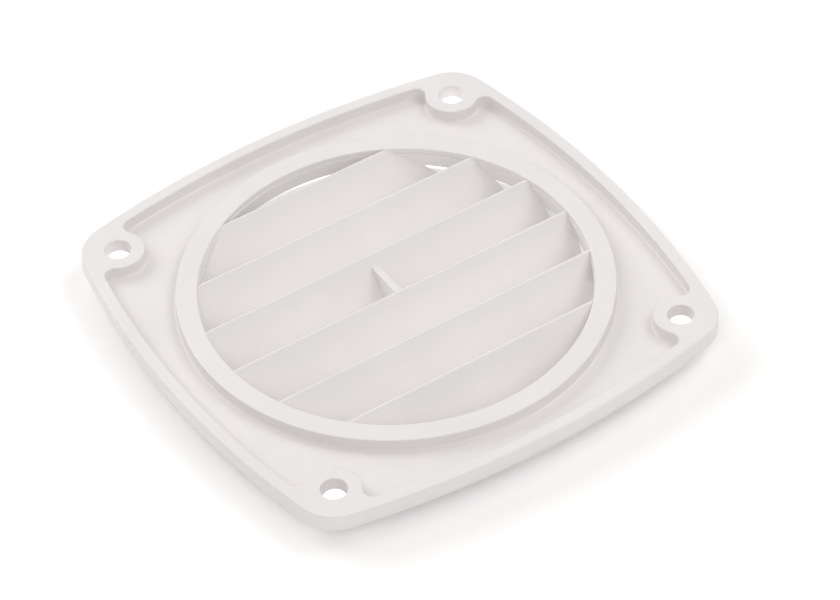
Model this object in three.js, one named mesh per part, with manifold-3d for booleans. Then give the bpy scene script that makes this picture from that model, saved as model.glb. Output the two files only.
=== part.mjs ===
// Square louvred roof vent cover, in millimetres.
// It lies face down, as it does on a bench: the louvre toes stand on z = 0, +Z points out of the
// back, and the flat back lands (rim, corner pads and collar) lie in one plane at the full height.
// X runs along the louvres. The origin is under the centre of the airway.
import * as THREE from 'three';
import { mergeVertices } from 'three/addons/utils/BufferGeometryUtils.js';
import Module from 'manifold-3d';

const wasm = await Module();
wasm.setup();

// ---- driving dimensions ----
const HEIGHT = 9;               // louvre toes to the back lands
const HALF_WIDTH = 63.5;        // centre to the middle of a bulged side
const SIDE_RADIUS = 242;        // radius of each bulged side
const CORNER_RADIUS = 10.5;     // radius of the outer corners
const EDGE_DEPTH = 4.8;         // back lands down to the front of the flange
const RECESS_DEPTH = 3.1;       // back lands down to the floor of the recess
const FRONT_BEVEL = 0.7;        // rounded front edge of the flange
const RIM_WIDTH = 3.4;          // perimeter rim, across
const SCREW_HALF_PITCH = 49;    // screw holes stand at (+-49, +-49)
const PAD_RADIUS = 6.8;         // corner pad around each screw hole
const PAD_FILLET = 2.2;         // concave corner between pad and rim
const SCREW_RADIUS = 3.2;       // screw hole
const SINK_RADIUS = 5.2;        // countersink at the front of the flange
const SINK_DEPTH = 1.9;
const AIRWAY_RADIUS = 47.9;     // round opening
const COLLAR_RADIUS = 53.3;     // outside of the raised collar
const BEZEL_RADIUS = 59;        // outside of the shallow front bezel
const BEZEL_FLAT = 3;           // flat ring of the bezel next to the airway
const BEZEL_RISE = 0.8;         // how far the bezel stands proud of the flange front
const BLADE_COUNT = 6;
const BLADE_PITCH = 14.87;
const FIRST_BLADE_Y = 41.6;     // centre of the first blade's rounded back edge
const BLADE_DROP = 0.4;         // top of that edge below the back lands
const BLADE_THICKNESS = 1.2;    // square to the blade
const RIB_WIDTH = 2;            // short stiffener between blades 3 and 4
const RIB_DROP = 2.2;           // top of the rib below the back lands
const RIB_TOE = 1;              // its front edge above the louvre toes
const GAP = 0.3;                // between members that are separate solids
const SLOPE = Math.PI / 4;      // every blade leans 45 degrees

// ---- fineness of the curves, and cutting allowances ----
const OUTLINE_STEPS = 6;        // segments in each arc of the bulged outline
const ROUND_STEPS = 72;         // segments round the airway, collar and bezel
const HOLE_STEPS = 32;          // segments round a screw hole
const PAD_STEPS = 8;            // segments in each arc of a corner pad
const NOSE_STEPS = 4;           // segments in a blade's rounded edge
const BEVEL_STEPS = 2;          // segments in the flange's rounded edge
const OVERCUT = 1;              // how far a cutting solid runs past a face
const OUTREACH = 5;             // how far a trimming outline runs past the flange
const LEAST_RADIUS = 0.8;       // smallest corner of an outline moved inwards
const MERGE_DISTANCE = 1e-4;    // vertices nearer than this are one

// ---- worked-out heights and reaches ----
const FLOOR_Z = HEIGHT - RECESS_DEPTH;
const FRONT_Z = HEIGHT - EDGE_DEPTH;
const BEZEL_Z = FRONT_Z - BEZEL_RISE;
const LAND_BASE_Z = FLOOR_Z + GAP;
const BLADE_RADIUS = AIRWAY_RADIUS - GAP;
const SIDE_OFFSET = SIDE_RADIUS - HALF_WIDTH;   // each side's arc is centred this far past the origin

// ---- solids and booleans ----
function solid(geometry) {
  const bare = geometry.index ? geometry.toNonIndexed() : geometry.clone();
  bare.deleteAttribute('normal');
  bare.deleteAttribute('uv');
  const merged = mergeVertices(bare, MERGE_DISTANCE);
  return new wasm.Manifold(new wasm.Mesh({
    numProp: 3,
    vertProperties: new Float32Array(merged.attributes.position.array),
    triVerts: new Uint32Array(merged.index.array),
  }));
}

function geometryOf(manifold) {
  const mesh = manifold.getMesh();
  const geometry = new THREE.BufferGeometry();
  geometry.setAttribute('position', new THREE.BufferAttribute(new Float32Array(mesh.vertProperties), 3));
  geometry.setIndex(new THREE.BufferAttribute(new Uint32Array(mesh.triVerts), 1));
  geometry.computeVertexNormals();
  return geometry;
}

function prism(shape, z0, z1, curveSegments = 1) {
  const options = { depth: z1 - z0, bevelEnabled: false, curveSegments };
  const geometry = new THREE.ExtrudeGeometry(shape, options);
  geometry.translate(0, 0, z0);
  return solid(geometry);
}

function lathe(profile, segments) {
  const points = profile.map(([r, z]) => new THREE.Vector2(r, z));
  const geometry = new THREE.LatheGeometry(points, segments);
  geometry.rotateX(Math.PI / 2);
  return solid(geometry);
}

function cylinder(radius, z0, z1, segments) {
  return lathe([[0, z0], [radius, z0], [radius, z1], [0, z1]], segments);
}

// ---- the bulged square ----
// Each side is an arc about a point on the far side of the centre; each corner is a tangent arc.
// inset moves the whole outline inwards.
function bulgedSquare(inset) {
  const sideRadius = SIDE_RADIUS - inset;
  const cornerRadius = Math.max(CORNER_RADIUS - inset, LEAST_RADIUS);
  const reach = sideRadius - cornerRadius;
  const corner = (-SIDE_OFFSET + Math.sqrt(2 * reach * reach - SIDE_OFFSET * SIDE_OFFSET)) / 2;
  const swing = Math.atan2(corner, corner + SIDE_OFFSET);
  const shape = new THREE.Shape();
  for (let quarter = 0; quarter < 4; quarter += 1) {
    const turn = quarter * Math.PI / 2;
    const sideX = -SIDE_OFFSET * Math.cos(turn);
    const sideY = -SIDE_OFFSET * Math.sin(turn);
    shape.absarc(sideX, sideY, sideRadius, turn - swing, turn + swing, false);
    const cornerX = corner * (Math.cos(turn) - Math.sin(turn));
    const cornerY = corner * (Math.cos(turn) + Math.sin(turn));
    shape.absarc(cornerX, cornerY, cornerRadius, turn + swing, turn + Math.PI / 2 - swing, false);
  }
  shape.closePath();
  return shape;
}

// ---- face plate: flange, airway, front bezel and countersunk screw holes ----
function facePlate() {
  const options = {
    depth: FLOOR_Z - FRONT_Z - FRONT_BEVEL,
    curveSegments: OUTLINE_STEPS,
    bevelEnabled: true,
    bevelThickness: FRONT_BEVEL,
    bevelSize: FRONT_BEVEL,
    bevelSegments: BEVEL_STEPS,
  };
  const blank = new THREE.ExtrudeGeometry(bulgedSquare(FRONT_BEVEL), options);
  blank.translate(0, 0, FRONT_Z + FRONT_BEVEL);
  const trim = prism(bulgedSquare(-OUTREACH), FRONT_Z - OVERCUT, FLOOR_Z, OUTLINE_STEPS);
  const bezel = lathe([
    [0, BEZEL_Z], [AIRWAY_RADIUS + BEZEL_FLAT, BEZEL_Z], [BEZEL_RADIUS, FRONT_Z],
    [BEZEL_RADIUS, FRONT_Z + GAP], [0, FRONT_Z + GAP],
  ], ROUND_STEPS);
  let plate = solid(blank).intersect(trim).add(bezel);
  plate = plate.subtract(cylinder(AIRWAY_RADIUS, 0, HEIGHT, ROUND_STEPS));
  const waistZ = FRONT_Z + SINK_DEPTH - GAP;
  for (const [x, y] of screwPlaces()) {
    const sink = lathe([
      [0, FRONT_Z - OVERCUT], [SINK_RADIUS, FRONT_Z - OVERCUT], [SINK_RADIUS, FRONT_Z],
      [SCREW_RADIUS, waistZ], [SCREW_RADIUS, HEIGHT], [0, HEIGHT],
    ], HOLE_STEPS);
    plate = plate.subtract(sink.translate([x, y, 0]));
  }
  return plate;
}

function screwPlaces() {
  const places = [];
  for (const sy of [1, -1]) {
    for (const sx of [-1, 1]) {
      places.push([sx * SCREW_HALF_PITCH, sy * SCREW_HALF_PITCH]);
    }
  }
  return places;
}

// ---- back lands: rim ring, and the corner regions that the pads take from it ----
function rimRing() {
  const outer = prism(bulgedSquare(0), LAND_BASE_Z, HEIGHT, OUTLINE_STEPS);
  const inner = prism(bulgedSquare(RIM_WIDTH), LAND_BASE_Z - OVERCUT, HEIGHT + OVERCUT, OUTLINE_STEPS);
  return outer.subtract(inner);
}

// Centre of the concave fillet between the +X rim and the +X +Y pad: it touches the rim's inner arc
// and the pad's circle.
function filletCentre() {
  const s = SCREW_HALF_PITCH;
  const toRim = SIDE_RADIUS - RIM_WIDTH - PAD_FILLET;
  const toPad = PAD_RADIUS + PAD_FILLET;
  const apart = Math.hypot(s + SIDE_OFFSET, s);
  const along = (toRim ** 2 - toPad ** 2 + apart ** 2) / (2 * apart);
  const aside = Math.sqrt(toRim ** 2 - along ** 2);
  const ux = (s + SIDE_OFFSET) / apart;
  const uy = s / apart;
  return [along * ux + aside * uy - SIDE_OFFSET, along * uy - aside * ux];
}

// A point given by its radius and angle about the centre of the +X side's arc.
function onSide(radius, angle) {
  return [radius * Math.cos(angle) - SIDE_OFFSET, radius * Math.sin(angle)];
}

// The outline of one corner pad in the +X +Y corner: a tongue round the screw hole that widens
// through a concave fillet into the rim on each side, and runs past the outer corner.
function padOutline() {
  const s = SCREW_HALF_PITCH;
  const r = PAD_RADIUS;
  const f = PAD_FILLET;
  const [x, y] = filletCentre();
  const lean = Math.atan2(y, x + SIDE_OFFSET);
  const meet = Math.atan2(y - s, x - s);
  const [outX, outY] = onSide(SIDE_RADIUS + OUTREACH, lean);
  const far = HALF_WIDTH + OUTREACH;
  const shape = new THREE.Shape();
  shape.moveTo(outY, outX);
  shape.absarc(y, x, f, Math.PI / 2 - lean, -Math.PI / 2 - meet, true);
  shape.absarc(s, s, r, Math.PI / 2 - meet, Math.PI * 2 + meet, false);
  shape.absarc(x, y, f, meet + Math.PI, lean, true);
  shape.lineTo(outX, outY);
  shape.lineTo(far, far);
  shape.closePath();
  return shape;
}

function cornerPad(quarter) {
  const block = prism(padOutline(), LAND_BASE_Z, HEIGHT, PAD_STEPS);
  const within = prism(bulgedSquare(0), LAND_BASE_Z - OVERCUT, HEIGHT + OVERCUT, OUTLINE_STEPS);
  const s = SCREW_HALF_PITCH;
  const hole = cylinder(SCREW_RADIUS, 0, HEIGHT + OVERCUT, HOLE_STEPS).translate([s, s, 0]);
  return block.intersect(within).subtract(hole).rotate([0, 0, 90 * quarter]);
}

// One run of rim between two pads, on the +X side before it is turned.
function rimRail(ring, quarter) {
  const [x, y] = filletCentre();
  const swing = Math.atan2(y, x + SIDE_OFFSET) - GAP / SIDE_RADIUS;
  const inner = SIDE_RADIUS - RIM_WIDTH - OVERCUT;
  const outer = SIDE_RADIUS + OUTREACH;
  const window = new THREE.Shape();
  window.moveTo(...onSide(inner, -swing));
  window.lineTo(...onSide(outer, -swing));
  window.lineTo(...onSide(outer, swing));
  window.lineTo(...onSide(inner, swing));
  window.closePath();
  const slab = prism(window, LAND_BASE_Z - OVERCUT, HEIGHT + OVERCUT);
  return ring.intersect(slab.rotate([0, 0, 90 * quarter]));
}

// ---- collar round the airway ----
function collarRing() {
  return lathe([
    [AIRWAY_RADIUS, LAND_BASE_Z], [COLLAR_RADIUS, LAND_BASE_Z],
    [COLLAR_RADIUS, HEIGHT], [AIRWAY_RADIUS, HEIGHT], [AIRWAY_RADIUS, LAND_BASE_Z],
  ], ROUND_STEPS);
}

// ---- louvre blades and the centre rib ----
// In the section, u runs along +Y and v along +Z; the shape is turned so that it extrudes along X.
function sectionAlongX(shape, x0, x1) {
  const options = { depth: x1 - x0, bevelEnabled: false, curveSegments: NOSE_STEPS };
  const geometry = new THREE.ExtrudeGeometry(shape, options);
  const toWorld = new THREE.Matrix4().makeBasis(
    new THREE.Vector3(0, 1, 0), new THREE.Vector3(0, 0, 1), new THREE.Vector3(1, 0, 0),
  );
  geometry.applyMatrix4(toWorld);
  geometry.translate(x0, 0, 0);
  return solid(geometry);
}

function louvreBlade(index) {
  const half = BLADE_THICKNESS / 2;
  const across = half / Math.sin(SLOPE);
  const noseZ = HEIGHT - BLADE_DROP - half;
  const noseY = FIRST_BLADE_Y - index * BLADE_PITCH;
  const toeY = noseY - noseZ / Math.tan(SLOPE);
  const section = new THREE.Shape();
  section.moveTo(toeY - across, 0);
  section.lineTo(toeY + across, 0);
  section.absarc(noseY, noseZ, half, SLOPE - Math.PI / 2, SLOPE + Math.PI / 2, false);
  section.closePath();
  const bar = sectionAlongX(section, -AIRWAY_RADIUS, AIRWAY_RADIUS);
  return bar.intersect(cylinder(BLADE_RADIUS, -OVERCUT, HEIGHT + OVERCUT, ROUND_STEPS));
}

function centreRib() {
  const across = BLADE_THICKNESS / 2 / Math.sin(SLOPE) + GAP * Math.SQRT2;
  const noseZ = HEIGHT - BLADE_DROP - BLADE_THICKNESS / 2;
  const highZ = HEIGHT - RIB_DROP;
  const upperY = FIRST_BLADE_Y - 2 * BLADE_PITCH;
  const lowerY = upperY - BLADE_PITCH;
  const section = new THREE.Shape();
  section.moveTo(lowerY - (noseZ - RIB_TOE) + across, RIB_TOE);
  section.lineTo(upperY - (noseZ - RIB_TOE) - across, RIB_TOE);
  section.lineTo(upperY - (noseZ - highZ) - across, highZ);
  section.lineTo(lowerY - (noseZ - highZ) + across, highZ);
  section.closePath();
  return sectionAlongX(section, -RIB_WIDTH / 2, RIB_WIDTH / 2);
}

// ---- assembly ----
const group = new THREE.Group();
group.name = 'roof_vent_cover';

function place(name, manifold) {
  const material = new THREE.MeshStandardMaterial({ color: 0xe9e4e2, roughness: 0.42, metalness: 0 });
  const mesh = new THREE.Mesh(geometryOf(manifold), material);
  mesh.name = name;
  group.add(mesh);
}

place('face_plate', facePlate());
place('collar_ring', collarRing());

const ring = rimRing();
['rim_east', 'rim_north', 'rim_west', 'rim_south'].forEach((name, quarter) => {
  place(name, rimRail(ring, quarter));
});
['screw_pad_northeast', 'screw_pad_northwest', 'screw_pad_southwest', 'screw_pad_southeast']
  .forEach((name, quarter) => place(name, cornerPad(quarter)));

for (let index = 0; index < BLADE_COUNT; index += 1) {
  place(`louvre_blade_${index + 1}`, louvreBlade(index));
}
place('centre_rib', centreRib());

export default group;
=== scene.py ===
"""Finished look of the square louvred vent cover: one satin white plastic moulding, lying face down.

Every section is drawn in millimetres as a chain of corners with their radii, carried along arcs,
and given the exact normals of its own curves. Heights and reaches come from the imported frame.
"""

import math

import bpy
from mathutils import Matrix, Vector
from mathutils.geometry import tessellate_polygon


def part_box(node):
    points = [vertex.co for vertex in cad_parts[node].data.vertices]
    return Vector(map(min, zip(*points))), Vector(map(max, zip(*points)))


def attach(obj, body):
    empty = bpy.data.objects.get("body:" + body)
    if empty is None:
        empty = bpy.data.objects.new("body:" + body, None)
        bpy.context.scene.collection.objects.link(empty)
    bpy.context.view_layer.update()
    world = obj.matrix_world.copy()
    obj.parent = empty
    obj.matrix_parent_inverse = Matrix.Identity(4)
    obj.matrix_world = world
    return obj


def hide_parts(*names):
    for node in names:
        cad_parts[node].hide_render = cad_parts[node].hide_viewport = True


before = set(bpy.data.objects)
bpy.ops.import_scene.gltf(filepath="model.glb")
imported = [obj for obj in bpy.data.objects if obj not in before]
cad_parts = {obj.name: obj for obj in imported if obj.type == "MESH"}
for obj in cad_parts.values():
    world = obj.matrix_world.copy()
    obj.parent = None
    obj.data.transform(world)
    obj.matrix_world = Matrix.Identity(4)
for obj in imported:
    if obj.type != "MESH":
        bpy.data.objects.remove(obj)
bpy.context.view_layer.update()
MM = 0.001


def box_mm(node):
    low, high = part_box(node)
    return low / MM, high / MM


# ---- heights and reaches of the frame, in mm ----
plate_low, plate_high = box_mm("face_plate")
collar_high = box_mm("collar_ring")[1]
TOP = collar_high.z                 # the back lands
FLOOR = plate_high.z                # floor of the recess
BEZEL_FRONT = plate_low.z
HALF_WIDTH = plate_high.x           # centre to the middle of a bulged side
COLLAR_RADIUS = collar_high.x

# ---- plan, in mm, as in the frame ----
SIDE_RADIUS = 242
CORNER_RADIUS = 10.5
RIM_WIDTH = 3.4
HOLE_PLACE = 49                     # screw holes stand at (+-49, +-49)
PAD_RADIUS = 6.8
PAD_FILLET = 2.2
AIRWAY_RADIUS = 47.9
BEZEL_RADIUS = 59
BEZEL_FLAT = 3
EDGE_DEPTH = 4.8                    # lands down to the front of the flange
BLADE_COUNT = 6
BLADE_THICKNESS = 1.2
FRONT = TOP - EDGE_DEPTH            # height of that front

# ---- fine shape, in mm; an EDGE is the radius of a rounded edge ----
LAND_EDGE = 0.35                    # rim, pads and collar, at the lands
FLOOR_FILLET = 0.45                 # where a wall meets the recess floor
DRAFT = 0.14                        # lean of a recess wall over its height
FRONT_DRAFT = 0.22                  # lean of the outer wall from the parting line to the front
FRONT_EDGE = 0.7                    # front of the flange
PARTING = TOP - 3.3                 # height of the parting line on the outer wall
PARTING_STEP = 0.06
PARTING_EDGE = 0.03
LEDGE = TOP - 1.5                   # height of the parting ledge inside the airway
LEDGE_STEP = 0.3
LEDGE_LEAN = 0.02                   # lean of the airway from the lands down to that ledge
LEDGE_FILLET = 0.03
LEDGE_EDGE = 0.06
FLARE = 0.15                        # how far the airway opens towards the front
BEZEL_INNER_EDGE = 0.2              # at the airway
BEZEL_OUTER_EDGE = 1.2
BEZEL_FILLET = 2.5                  # where the bezel meets the flange's front
HOLE_MOUTH = 3.25                   # screw hole at the lands, and where it is narrowest
HOLE_WAIST = 2.9
HOLE_EDGE = LAND_EDGE * 0.7
SINK_RADIUS = 5.2
SINK_DEPTH = 1.6
SINK_INNER_EDGE = 0.05
SINK_OUTER_EDGE = 0.15
MARK_SLOPE = 0.1                    # width of the sloping lip round an ejector mark
MARK_EDGE = 0.04
BLADE_OVERLAP = 0.15                # how far a blade's ends run into the airway's widest wall
BLADE_END_RADIUS = AIRWAY_RADIUS + FLARE + BLADE_OVERLAP
TOE_EDGE = 0.2                      # front edges of a blade
NOSE_EDGE = 0.5                     # back edges of a blade
RIB_EDGE = 0.3
LEAD = 1                            # length of the stub at a section's end that isn't swept

# ---- fineness ----
SIDE_STEPS = 28
CORNER_STEPS = 14
PAD_STEPS = 30
FILLET_STEPS = 10
ROUND_STEPS = 180
HOLE_STEPS = 48
EDGE_STEPS = 5
BEND_STEPS = 4                      # in the stretch of side between a rail and a corner
LONGEST_RUN = 0.8                   # mm between points down a blade, so its ends stay round
SAME_POINT = 1e-4                   # mm
SAME_NORMAL = 1e-3


# ---- meshes with exact normals ----
class Skin:
    """Faces of one piece. Vertices that coincide to 0.0001 mm are one, and each corner of a face
    keeps its own normal."""

    def __init__(self):
        self.index = {}
        self.points = []
        self.faces = []
        self.normals = []

    def vertex(self, point):
        key = tuple(round(value, 4) for value in point)
        if key not in self.index:
            self.index[key] = len(self.points)
            self.points.append(point)
        return self.index[key]

    def face(self, corners):
        """corners are (point, normal) pairs; the face is turned to look along its normals."""
        kept = []
        for point, normal in corners:
            vertex = self.vertex(point)
            if all(vertex != other for other, _ in kept):
                kept.append((vertex, normal))
        if len(kept) < 3:
            return
        across = Vector()
        for i, (vertex, _) in enumerate(kept):
            across += self.points[vertex].cross(self.points[kept[i - 1][0]])
        if across.dot(sum((normal for _, normal in kept), Vector())) > 0:
            kept.reverse()
        self.faces.append([vertex for vertex, _ in kept])
        self.normals += [normal for _, normal in kept]

    def mark_sharp_edges(self, mesh):
        """An edge is sharp where the faces on its two sides have different normals."""
        seen = {}
        sharp = set()
        corner = 0
        for face in self.faces:
            normals = self.normals[corner:corner + len(face)]
            corner += len(face)
            for i, vertex in enumerate(face):
                ends = sorted([(face[i - 1], normals[i - 1]), (vertex, normals[i])], key=lambda e: e[0])
                edge = (ends[0][0], ends[1][0])
                pair = (ends[0][1], ends[1][1])
                other = seen.setdefault(edge, pair)
                if any((a - b).length > SAME_NORMAL for a, b in zip(pair, other)):
                    sharp.add(edge)
        flags = [tuple(sorted(edge.vertices)) in sharp for edge in mesh.edges]
        mesh.attributes.new("sharp_edge", "BOOLEAN", "EDGE").data.foreach_set("value", flags)

    def build(self, node, material):
        name = f"{node}_skin"
        mesh = bpy.data.meshes.new(name)
        mesh.from_pydata([point * MM for point in self.points], [], self.faces)
        mesh.polygons.foreach_set("use_smooth", [True] * len(self.faces))
        self.mark_sharp_edges(mesh)
        mesh.normals_split_custom_set([tuple(normal.normalized()) for normal in self.normals])
        mesh.materials.append(material)
        piece = bpy.data.objects.new(name, mesh)
        bpy.context.scene.collection.objects.link(piece)
        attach(piece, "root")
        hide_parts(node)


def section(corners):
    """A chain of corners (across, up, radius) as points with normals: (across, up, n_across, n_up).
    The material lies to the left of the chain's direction, and the normals point to its right."""
    points = []
    for i, (across, up, radius) in enumerate(corners):
        here = Vector((across, up))
        before = (here - Vector(corners[i - 1][:2])).normalized() if i else None
        after = (Vector(corners[i + 1][:2]) - here).normalized() if i + 1 < len(corners) else None
        sides = [Vector((side.y, -side.x)) for side in (before, after) if side]
        if before is None or after is None or radius == 0:
            points += [(*here, *normal) for normal in sides]
            continue
        turn = math.atan2(before.x * after.y - before.y * after.x, before.dot(after))
        sign = math.copysign(1, turn)
        centre = here - before * radius * math.tan(abs(turn) / 2) - sides[0] * sign * radius
        for step in range(EDGE_STEPS + 1):
            normal = Matrix.Rotation(turn * step / EDGE_STEPS, 2) @ sides[0]
            points.append((*(centre + normal * sign * radius), *normal))
    return points


def closed_section(corners):
    """The section of a closed chain of corners."""
    return section([corners[-1], *corners, corners[0]])[1:-1]


def ring(arcs, offset, up, n_out, n_up):
    """Points along a chain of arcs, moved out of the material by offset, with their normals.
    An arc is (centre x, centre y, radius, first angle, last angle, side, steps): side is 1 where
    the material is inside the arc's circle and -1 where it is outside."""
    corners = []
    for cx, cy, radius, first, last, side, steps in arcs:
        reach = radius + side * offset
        for step in range(1 if corners else 0, steps + 1):
            angle = first + (last - first) * step / steps
            c, s = math.cos(angle), math.sin(angle)
            point = Vector((cx + reach * c, cy + reach * s, up))
            corners.append((point, Vector((side * n_out * c, side * n_out * s, n_up))))
    return corners


def sweep(skin, arcs, profile):
    """Carries a section along the arcs, and gives back its first and last rings."""
    rings = [ring(arcs, *point) for point in profile]
    for low, high in zip(rings, rings[1:]):
        for i in range(len(low) - 1):
            skin.face([low[i], low[i + 1], high[i + 1], high[i]])
    return rings[0], rings[-1]


def fill(skin, loops, up):
    """Covers the flat stretch inside the first loop and outside the others."""
    normal = Vector((0, 0, up))
    flat = [[Vector((point.x, point.y, 0)) for point, _ in loop] for loop in loops]
    flat = [loop[:-1] if (loop[0] - loop[-1]).length < SAME_POINT else loop for loop in flat]
    height = loops[0][0][0].z
    points = [Vector((point.x, point.y, height)) for loop in flat for point in loop]
    for triangle in tessellate_polygon(flat):
        skin.face([(points[corner], normal) for corner in triangle])


def circle(radius, x=0, y=0, side=1, steps=ROUND_STEPS):
    return [(x, y, radius, 0, 2 * math.pi, side, steps)]


def turned(arcs, quarter):
    """The arcs turned about the origin by quarter turns."""
    turn = quarter * math.pi / 2
    c, s = math.cos(turn), math.sin(turn)
    return [
        (cx * c - cy * s, cx * s + cy * c, radius, first + turn, last + turn, side, steps)
        for cx, cy, radius, first, last, side, steps in arcs
    ]


# ---- the plan's arcs, for the +X side and the corner after it ----
SIDE_CENTRE = HALF_WIDTH - SIDE_RADIUS
corner_reach = SIDE_RADIUS - CORNER_RADIUS
CORNER_CENTRE = (SIDE_CENTRE + math.sqrt(2 * corner_reach**2 - SIDE_CENTRE**2)) / 2
SWING = math.atan2(CORNER_CENTRE, CORNER_CENTRE - SIDE_CENTRE)      # where side meets corner

# The fillet between a pad and the rim touches the pad's circle and the rim's inner arc.
inner_radius = SIDE_RADIUS - RIM_WIDTH
to_pad = Vector((HOLE_PLACE - SIDE_CENTRE, HOLE_PLACE))
side_reach = inner_radius - PAD_FILLET
pad_reach = PAD_RADIUS + PAD_FILLET
along = (side_reach**2 - pad_reach**2 + to_pad.length_squared) / (2 * to_pad.length)
aside = math.sqrt(side_reach**2 - along**2)
fillet = to_pad.normalized() * along + Vector((to_pad.y, -to_pad.x)).normalized() * aside
RAIL_ANGLE = math.atan2(fillet.y, fillet.x)
fillet.x += SIDE_CENTRE
pad_meet = math.atan2(fillet.y - HOLE_PLACE, fillet.x - HOLE_PLACE)

rail_outside = [(SIDE_CENTRE, 0, SIDE_RADIUS, -RAIL_ANGLE, RAIL_ANGLE, 1, SIDE_STEPS)]
rail_inside = [(SIDE_CENTRE, 0, inner_radius, -RAIL_ANGLE, RAIL_ANGLE, -1, SIDE_STEPS)]
pad_outside = [
    (SIDE_CENTRE, 0, SIDE_RADIUS, RAIL_ANGLE, SWING, 1, BEND_STEPS),
    (CORNER_CENTRE, CORNER_CENTRE, CORNER_RADIUS, SWING, math.pi / 2 - SWING, 1, CORNER_STEPS),
    (0, SIDE_CENTRE, SIDE_RADIUS, math.pi / 2 - SWING, math.pi / 2 - RAIL_ANGLE, 1, BEND_STEPS),
]
pad_inside = [
    (fillet.x, fillet.y, PAD_FILLET, RAIL_ANGLE, pad_meet + math.pi, -1, FILLET_STEPS),
    (HOLE_PLACE, HOLE_PLACE, PAD_RADIUS, pad_meet, -math.pi * 1.5 - pad_meet, 1, PAD_STEPS),
    (fillet.y, fillet.x, PAD_FILLET, -math.pi / 2 - pad_meet, math.pi / 2 - RAIL_ANGLE, -1,
     FILLET_STEPS),
]
outline = [arc for quarter in range(4) for arc in turned(rail_outside + pad_outside, quarter)]

# ---- sections of the lands, from the floor upwards; across is out of the material ----
outer_wall = section([
    (-PARTING_STEP, FLOOR, 0), (-PARTING_STEP - DRAFT, TOP, LAND_EDGE), (-RIM_WIDTH / 2, TOP, 0),
])[:-1]
inner_wall = section([
    (LEAD, FLOOR, 0), (0, FLOOR, FLOOR_FILLET), (-DRAFT, TOP, LAND_EDGE), (-RIM_WIDTH / 2, TOP, 0),
])[1:-1]


def close_end(skin, outer_profile, inner_profile, outer_arcs, inner_arcs, last):
    """A flat cap across the rim, where one piece of it meets the next."""
    pick = -1 if last else 0
    around = [ring(outer_arcs, *point)[pick][0] for point in outer_profile]
    around += [ring(inner_arcs, *point)[pick][0] for point in reversed(inner_profile)]
    way = Vector((0, 0, 1)).cross(around[0] - around[-1]).normalized()
    normal = way if last else -way
    skin.face([(point, normal) for point in around])


def rim_rail(quarter, node, material):
    skin = Skin()
    outside, inside = turned(rail_outside, quarter), turned(rail_inside, quarter)
    foot, brow = sweep(skin, outside, outer_wall)
    toe, lip = sweep(skin, inside, inner_wall)
    fill(skin, [brow + lip[::-1]], 1)
    fill(skin, [foot + toe[::-1]], -1)
    for last in (False, True):
        close_end(skin, outer_wall, inner_wall, outside, inside, last)
    skin.build(node, material)


def screw_pad(quarter, node, material):
    skin = Skin()
    outside, inside = turned(pad_outside, quarter), turned(pad_inside, quarter)
    hole = turned(circle(HOLE_MOUTH, HOLE_PLACE, HOLE_PLACE, -1, HOLE_STEPS), quarter)
    taper = HOLE_MOUTH - HOLE_WAIST
    bore = section([(taper, FLOOR, 0), (0, TOP, HOLE_EDGE), (-LEAD, TOP, 0)])[:-1]
    foot, brow = sweep(skin, outside, outer_wall)
    toe, lip = sweep(skin, inside, inner_wall)
    waist, mouth = sweep(skin, hole, bore)
    fill(skin, [brow + lip[::-1], mouth], 1)
    fill(skin, [foot + toe[::-1], waist], -1)
    for last in (False, True):
        close_end(skin, outer_wall, inner_wall, outside, inside, last)
    skin.build(node, material)


def airway_at(height):
    """Radius of the airway below its ledge, where it flares towards the front."""
    share = (LEDGE - height) / (LEDGE - BEZEL_FRONT)
    return AIRWAY_RADIUS - LEDGE_STEP + (FLARE + LEDGE_STEP) * share


def collar(material):
    skin = Skin()
    profile = section([
        (COLLAR_RADIUS + LEAD, FLOOR, 0), (COLLAR_RADIUS, FLOOR, FLOOR_FILLET),
        (COLLAR_RADIUS - DRAFT, TOP, LAND_EDGE), (AIRWAY_RADIUS, TOP, LAND_EDGE),
        (AIRWAY_RADIUS - LEDGE_LEAN, LEDGE, LEDGE_FILLET), (airway_at(LEDGE), LEDGE, LEDGE_EDGE),
        (airway_at(FLOOR), FLOOR, 0),
    ])[1:]
    toe, foot = sweep(skin, circle(0), profile)
    fill(skin, [toe, foot], -1)
    skin.build("collar_ring", material)


# ---- marks that the moulding tool leaves on the recess floor: x, y, radius, depth ----
EJECTOR_MARKS = [
    (-52.4, -27.5, 4.6, 0.05), (-25.4, 51.7, 2.6, 0.05), (-49, -33, 0.9, 0.04),
    (52.4, 27.5, 4.6, 0.05), (25.4, -51.7, 2.6, 0.05), (25.4, 51.7, 2.6, 0.05),
]


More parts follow.
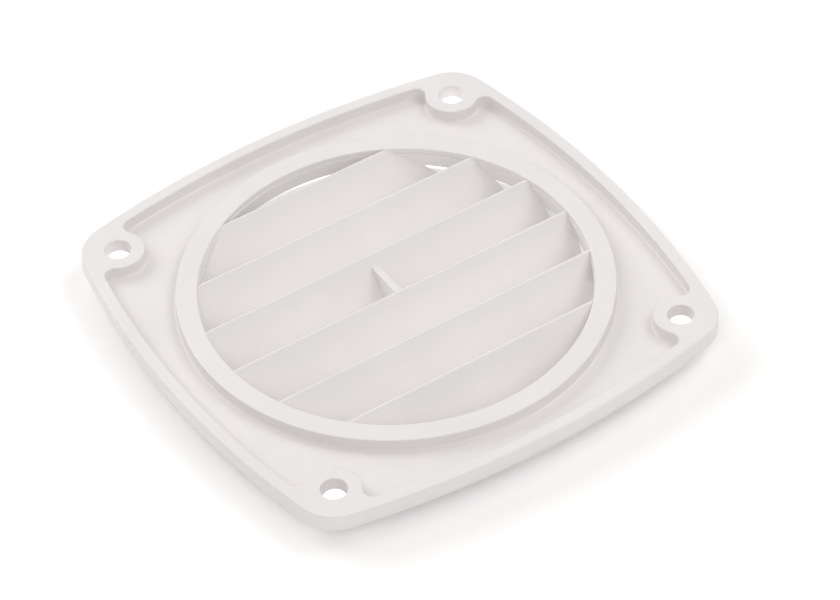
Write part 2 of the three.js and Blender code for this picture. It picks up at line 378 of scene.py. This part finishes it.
def face_plate(material):
    skin = Skin()
    wall = section([
        (-FRONT_DRAFT - LEAD, FRONT, 0), (-FRONT_DRAFT, FRONT, FRONT_EDGE),
        (0, PARTING - PARTING_STEP, PARTING_EDGE), (-PARTING_STEP, PARTING, PARTING_EDGE),
        (-PARTING_STEP, FLOOR, 0),
    ])[1:]
    front_ring, top_ring = sweep(skin, outline, wall)
    bezel = section([
        (airway_at(FLOOR), FLOOR, 0), (airway_at(BEZEL_FRONT), BEZEL_FRONT, BEZEL_INNER_EDGE),
        (AIRWAY_RADIUS + BEZEL_FLAT, BEZEL_FRONT, BEZEL_OUTER_EDGE),
        (BEZEL_RADIUS, FRONT, BEZEL_FILLET), (BEZEL_RADIUS + LEAD, FRONT, 0),
    ])[:-1]
    airway_ring, bezel_ring = sweep(skin, circle(0), bezel)
    top_loops, front_loops = [top_ring, airway_ring], [front_ring, bezel_ring]
    sink = section([
        (HOLE_WAIST, FLOOR, 0), (HOLE_WAIST, FRONT + SINK_DEPTH, SINK_INNER_EDGE),
        (SINK_RADIUS, FRONT, SINK_OUTER_EDGE), (SINK_RADIUS + LEAD, FRONT, 0),
    ])[:-1]
    for quarter in range(4):
        hole = turned(circle(0, HOLE_PLACE, HOLE_PLACE, 1, HOLE_STEPS), quarter)
        waist, mouth = sweep(skin, hole, sink)
        top_loops.append(waist)
        front_loops.append(mouth)
    for x, y, radius, depth in EJECTOR_MARKS:
        lip = section([
            (-radius, FLOOR - depth, 0), (-radius - MARK_SLOPE, FLOOR, MARK_EDGE),
            (-radius - MARK_SLOPE - LEAD, FLOOR, 0),
        ])[:-1]
        low, high = sweep(skin, circle(0, x, y, -1, HOLE_STEPS), lip)
        fill(skin, [low], 1)
        top_loops.append(high)
    fill(skin, top_loops, 1)
    fill(skin, front_loops, -1)
    skin.build("face_plate", material)


# ---- louvre blades and the rib between two of them; their sections are in (y, z) and (x, z) ----
def blade_reach(y):
    """Half the length of a blade at this y, where it meets the round airway."""
    return math.sqrt(BLADE_END_RADIUS**2 - y * y)


def split_runs(profile):
    """Adds points along the straight runs, so that the blade's ends follow the round airway."""
    points = []
    for start, end in zip(profile, profile[1:] + profile[:1]):
        count = max(1, math.ceil(math.dist(start[:2], end[:2]) / LONGEST_RUN))
        for step in range(count):
            share = step / count
            points.append(tuple(a + (b - a) * share for a, b in zip(start, end)))
    return points


def extend_blade(skin, profile):
    """Carries a blade's section along X, from one side of the airway to the other."""
    for (y0, z0, ny0, nz0), (y1, z1, ny1, nz1) in zip(profile, profile[1:] + profile[:1]):
        a, b = blade_reach(y0), blade_reach(y1)
        n0, n1 = Vector((0, ny0, nz0)), Vector((0, ny1, nz1))
        skin.face([
            (Vector((-a, y0, z0)), n0), (Vector((a, y0, z0)), n0),
            (Vector((b, y1, z1)), n1), (Vector((-b, y1, z1)), n1),
        ])


def cap_blade(skin, profile):
    """Closes both ends of a blade, joining the points of its two long faces in pairs."""
    for sign in (-1, 1):
        corners = []
        for y, z, _, _ in profile:
            x = sign * blade_reach(y)
            corners.append((Vector((x, y, z)), Vector((x, y, 0)).normalized()))
        for i in range(len(corners) // 2 - 1):
            skin.face([corners[i], corners[i + 1], corners[-i - 2], corners[-i - 1]])


def louvre_blade(number, material):
    """A blade leans 45 degrees: its section runs from two toes on z = 0 to a rounded back edge."""
    node = f"louvre_blade_{number}"
    high = box_mm(node)[1]
    half = BLADE_THICKNESS / 2
    lean = Vector((1, 1)).normalized()          # up the blade, towards its back edge
    side = Vector((1, -1)).normalized()         # out of the face that looks to the front
    tip = Vector((high.y - half, high.z - half)) + lean * half
    toe_y = high.y - high.z
    across = half * math.sqrt(2)
    profile = split_runs(closed_section([
        (toe_y + across, 0, TOE_EDGE), (*(tip + side * half), NOSE_EDGE),
        (*(tip - side * half), NOSE_EDGE), (toe_y - across, 0, TOE_EDGE),
    ]))
    skin = Skin()
    extend_blade(skin, profile)
    cap_blade(skin, profile)
    skin.build(node, material)


def centre_rib(material):
    """The rib's section is carried along the slope from inside one blade to inside the next."""
    low, high = box_mm("centre_rib")
    profile = closed_section([
        (high.x, low.z, 0), (high.x, high.z, RIB_EDGE), (-high.x, high.z, RIB_EDGE),
        (-high.x, low.z, 0),
    ])
    blade_tops = [box_mm(f"louvre_blade_{number}")[1] for number in (3, 4)]
    blade_planes = [top.y - top.z for top in blade_tops]

    def place(plane, x, z):
        return Vector((x, plane + z, z))

    skin = Skin()
    for (x0, z0, nx0, nz0), (x1, z1, nx1, nz1) in zip(profile, profile[1:] + profile[:1]):
        n0, n1 = Vector((nx0, 0, nz0)), Vector((nx1, 0, nz1))
        first, second = [(place(plane, x0, z0), n0) for plane in blade_planes]
        fourth, third = [(place(plane, x1, z1), n1) for plane in blade_planes]
        skin.face([first, second, third, fourth])
    for plane, way in zip(blade_planes, (1, -1)):
        normal = Vector((0, way, -way)).normalized()
        skin.face([(place(plane, x, z), normal) for x, z, _, _ in profile])
    skin.build("centre_rib", material)


# ---- materials; a SCALE is per metre, and a DEPTH is in metres ----
PLASTIC_IOR = 1.46
PLASTIC_COLOURS = (0.765, 0.739, 0.741), (0.79, 0.765, 0.757)
CLOUD_SCALE = 45
CLOUD_RANGE = (0.35, 0.65)          # noise values at which the two colours are reached
PLASTIC_ROUGHNESS = (0.38, 0.5)
GLOSS_SCALE = 900
GRAIN_SCALE = 2600
GRAIN_STRENGTH = 0.12
GRAIN_DEPTH = 0.00004
WAVE_SCALE = 60
WAVE_STRENGTH = 0.25
WAVE_DEPTH = 0.0002
TABLE_COLOURS = (0.915, 0.915, 0.915), (0.925, 0.925, 0.925)
TABLE_ROUGHNESS = 0.9
PAPER_SCALE = 30

# Emission of the white table: an even glow everywhere, and painted light, a glowing pool in a square
# under the part but not under its airway, and another in the middle of the airway. The square of
# painted light makes the table read white through the screw holes and beyond the first blade. It is
# moved away from the camera, which looks through them at a slant.
TABLE_GLOW = 0.085
UNDER_GLOW = 0.7
AIRWAY_GLOW = 0.37
UNDER_PLACE = (0.0035, 0.0058, 0)   # middle of the square, in m
UNDER_FADE = (50, 54)               # where each glow starts to fade and where it ends, in mm
AIRWAY_EDGE_FADE = (50.6, 51.8)
AIRWAY_FADE = (36, 46)


class Nodes:
    """The nodes of one material, added one at a time."""

    def __init__(self, name):
        self.material = bpy.data.materials.new(name)
        self.material.use_nodes = True
        self.tree = self.material.node_tree
        self.shader = self.tree.nodes["Principled BSDF"]
        self.place = self.tree.nodes.new("ShaderNodeTexCoord").outputs["Object"]

    def add(self, kind, **settings):
        """A new node. A setting names an input, and is a number or another node's output."""
        node = self.tree.nodes.new(kind)
        for name, value in settings.items():
            self.set(node.inputs[name], value)
        return node

    def set(self, socket, value):
        if isinstance(value, bpy.types.NodeSocket):
            self.tree.links.new(value, socket)
        else:
            socket.default_value = value

    def noise(self, scale, detail=2, roughness=0.5):
        node = self.add("ShaderNodeTexNoise", Vector=self.place, Scale=scale, Detail=detail,
                        Roughness=roughness)
        return node.outputs["Fac"]

    def ramp(self, source, colours, positions=(0, 1)):
        node = self.add("ShaderNodeValToRGB", Fac=source)
        for element, position, colour in zip(node.color_ramp.elements, positions, colours):
            element.position = position
            element.color = (*colour, 1)
        return node.outputs["Color"]

    def bump(self, height, strength, distance, **under):
        node = self.add("ShaderNodeBump", Height=height, Strength=strength, Distance=distance, **under)
        return node.outputs["Normal"]

    def operate(self, kind, operation, *values):
        node = self.add(kind)
        node.operation = operation
        for value, socket in zip(values, node.inputs):
            self.set(socket, value)
        return node.outputs

    def number(self, operation, *values):
        return self.operate("ShaderNodeMath", operation, *values)["Value"]

    def vector(self, operation, *values):
        outputs = self.operate("ShaderNodeVectorMath", operation, *values)
        return outputs["Value" if operation == "LENGTH" else "Vector"]

    def within(self, distance, fade, value):
        """The value up to the start of the fade, and nothing past its end."""
        node = self.add("ShaderNodeMapRange", Value=distance)
        node.interpolation_type = "SMOOTHSTEP"
        limits = {"From Min": fade[0] * MM, "From Max": fade[1] * MM, "To Min": value, "To Max": 0}
        for name, limit in limits.items():
            node.inputs[name].default_value = limit
        return node.outputs["Result"]


def satin_plastic():
    """Faint clouds in the colour, fine changes of gloss, a fine grain and slow waves."""
    nodes = Nodes("satin_white_plastic")
    shader = nodes.shader.inputs
    shader["IOR"].default_value = PLASTIC_IOR
    cloud = nodes.noise(CLOUD_SCALE, detail=4, roughness=0.6)
    nodes.set(shader["Base Color"], nodes.ramp(cloud, PLASTIC_COLOURS, CLOUD_RANGE))
    gloss = nodes.add("ShaderNodeMapRange", Value=nodes.noise(GLOSS_SCALE, detail=3, roughness=0.55))
    gloss.inputs["To Min"].default_value, gloss.inputs["To Max"].default_value = PLASTIC_ROUGHNESS
    nodes.set(shader["Roughness"], gloss.outputs["Result"])
    grain = nodes.bump(nodes.noise(GRAIN_SCALE), GRAIN_STRENGTH, GRAIN_DEPTH)
    waves = nodes.noise(WAVE_SCALE, roughness=0.4)
    nodes.set(shader["Normal"], nodes.bump(waves, WAVE_STRENGTH, WAVE_DEPTH, Normal=grain))
    return nodes.material


def lit_table():
    """White table, evenly bright, with painted light glowing in patches under the part."""
    nodes = Nodes("white_table")
    shader = nodes.shader.inputs
    shader["Roughness"].default_value = TABLE_ROUGHNESS
    shader["Emission Color"].default_value = (1, 1, 1, 1)
    nodes.set(shader["Base Color"], nodes.ramp(nodes.noise(PAPER_SCALE), TABLE_COLOURS))
    beside = nodes.add("ShaderNodeSeparateXYZ")
    offset = nodes.vector("SUBTRACT", nodes.place, UNDER_PLACE)
    nodes.set(beside.inputs["Vector"], nodes.vector("ABSOLUTE", offset))
    from_square = nodes.number("MAXIMUM", beside.outputs["X"], beside.outputs["Y"])
    from_centre = nodes.vector("LENGTH", nodes.place)
    # painted light: a glowing square on the table under the part, cut away round the airway's edge,
    # plus a glowing pool in the airway's middle
    square = nodes.within(from_square, UNDER_FADE, UNDER_GLOW)
    outside = nodes.number("SUBTRACT", 1, nodes.within(from_centre, AIRWAY_EDGE_FADE, 1))
    under = nodes.number("MULTIPLY", square, outside)
    beneath = nodes.number("ADD", under, nodes.within(from_centre, AIRWAY_FADE, AIRWAY_GLOW))
    nodes.set(shader["Emission Strength"], nodes.number("ADD", beneath, TABLE_GLOW))
    return nodes.material


# ---- floor, light and camera ----
FLOOR_SIZE = 6                      # m
SKY_COLOUR = (1, 0.98, 0.962, 1)
SKY_STRENGTH = 0.465
SOFTBOX_SIZE = 0.7                  # m
SOFTBOX_DISTANCE = 1.3              # m, from the origin, which every softbox looks at

# Degrees from +X towards +Y, elevation in degrees, watts.
SOFTBOXES = [
    (90, 35, 2.4), (0, 50, 3.7), (225, 50, 3.3), (315, 50, 1.45), (116, 30, 5.0), (270, 34, 1.5),
]

# The photograph's view: azimuth, elevation and roll in degrees, then mm about the lands' centre.
CAMERA_ANGLES = (-31.476, 44.013, -2.867)
CAMERA_DISTANCE = 931.6
CAMERA_RIGHT = 5.8
CAMERA_RISE = -4.49
CAMERA_LENS = 165.8
CAMERA_SENSOR = 36                  # width
CAMERA_CLIP = (0.05, 20)            # nearest and furthest, in m


def studio():
    bpy.ops.mesh.primitive_plane_add(size=FLOOR_SIZE, location=(0, 0, 0))
    floor = bpy.context.object
    floor.name = "studio_floor"
    floor.data.materials.append(lit_table())

    world = bpy.data.worlds.new("studio")
    world.use_nodes = True
    sky = world.node_tree.nodes["Background"]
    sky.inputs["Color"].default_value = SKY_COLOUR
    sky.inputs["Strength"].default_value = SKY_STRENGTH
    bpy.context.scene.world = world

    for compass, elevation, power in SOFTBOXES:
        lamp = bpy.data.lights.new("softbox", "AREA")
        lamp.shape = "SQUARE"
        lamp.size = SOFTBOX_SIZE
        lamp.energy = power
        box = bpy.data.objects.new("softbox", lamp)
        lift, turn = math.radians(elevation), math.radians(compass)
        way = Vector((math.cos(lift) * math.cos(turn), math.cos(lift) * math.sin(turn), math.sin(lift)))
        box.location = way * SOFTBOX_DISTANCE
        box.rotation_mode = "QUATERNION"
        box.rotation_quaternion = way.to_track_quat("Z", "Y")
        bpy.context.scene.collection.objects.link(box)


def photo_camera():
    azimuth, elevation, roll = (math.radians(angle) for angle in CAMERA_ANGLES)
    back = Vector((
        math.sin(azimuth) * math.cos(elevation),
        -math.cos(azimuth) * math.cos(elevation),
        math.sin(elevation),
    ))
    level = Vector((0, 0, 1)).cross(back).normalized()
    above = back.cross(level)
    x_axis = level * math.cos(roll) + above * math.sin(roll)
    y_axis = above * math.cos(roll) - level * math.sin(roll)
    lands = Vector((0, 0, TOP))
    place = (lands + back * CAMERA_DISTANCE + x_axis * CAMERA_RIGHT + y_axis * CAMERA_RISE) * MM
    data = bpy.data.cameras.new("photo_camera")
    data.sensor_width = CAMERA_SENSOR
    data.lens = CAMERA_LENS
    data.clip_start, data.clip_end = CAMERA_CLIP
    camera = bpy.data.objects.new("photo_camera", data)
    turn = Matrix((x_axis, y_axis, back)).transposed()
    camera.matrix_world = Matrix.Translation(place) @ turn.to_4x4()
    bpy.context.scene.collection.objects.link(camera)
    bpy.context.scene.camera = camera


plastic = satin_plastic()
face_plate(plastic)
collar(plastic)
for quarter, side in enumerate(("east", "north", "west", "south")):
    rim_rail(quarter, f"rim_{side}", plastic)
for quarter, corner in enumerate(("northeast", "northwest", "southwest", "southeast")):
    screw_pad(quarter, f"screw_pad_{corner}", plastic)
for number in range(1, BLADE_COUNT + 1):
    louvre_blade(number, plastic)
centre_rib(plastic)
studio()
photo_camera()
bpy.context.scene.view_settings.view_transform = "Standard"

bpy.context.view_layer.update()
